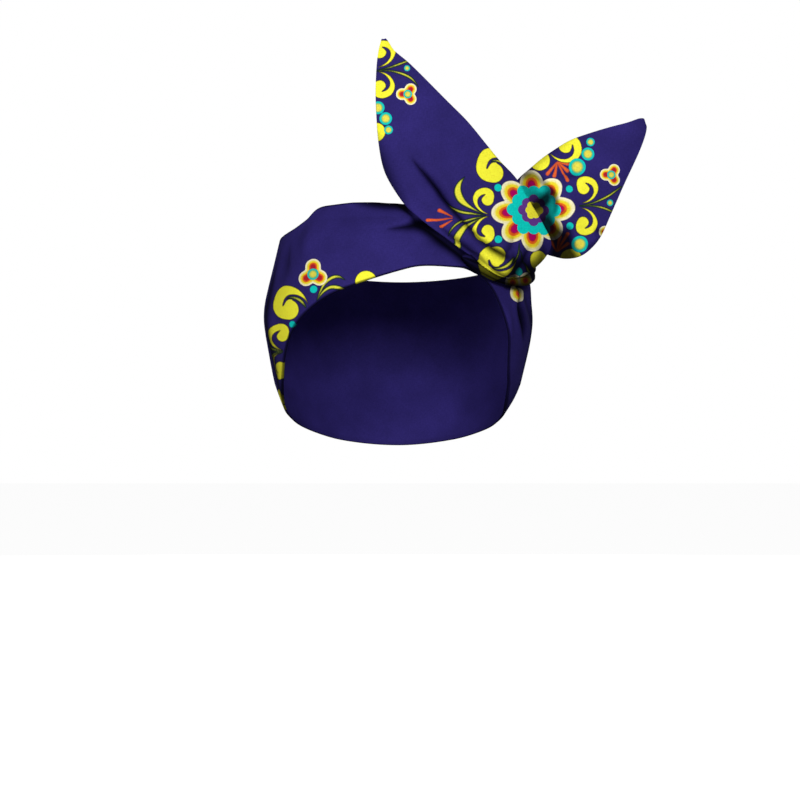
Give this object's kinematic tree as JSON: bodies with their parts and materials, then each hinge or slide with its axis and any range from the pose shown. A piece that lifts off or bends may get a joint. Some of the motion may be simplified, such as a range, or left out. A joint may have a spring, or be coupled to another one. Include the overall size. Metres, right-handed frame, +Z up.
{
  "type": "cloth headband",
  "caption": "Wide cloth headband, worn: a folded strip round the head, crossed at the front, with two pointed ends standing up.",
  "frame": {"origin": "centre of the head hollow, level with the brow line, where the band sits on a head", "axes": "+Z up through the crown opening, -Y the way the face looks, +X the side on which the ends are crossed"},
  "size_m": [0.2266, 0.197, 0.2348],
  "materials": {
    "head_band": "matte navy cotton with a floral print",
    "knot_wrap": "matte navy cotton with a floral print",
    "long_ear": "matte navy cotton with a floral print",
    "short_ear": "matte navy cotton with a floral print"
  },
  "bodies": {
    "root": {"head_band": "head_band", "knot_wrap": "knot_wrap", "long_ear": "long_ear", "short_ear": "short_ear"}
  },
  "joints": []
}
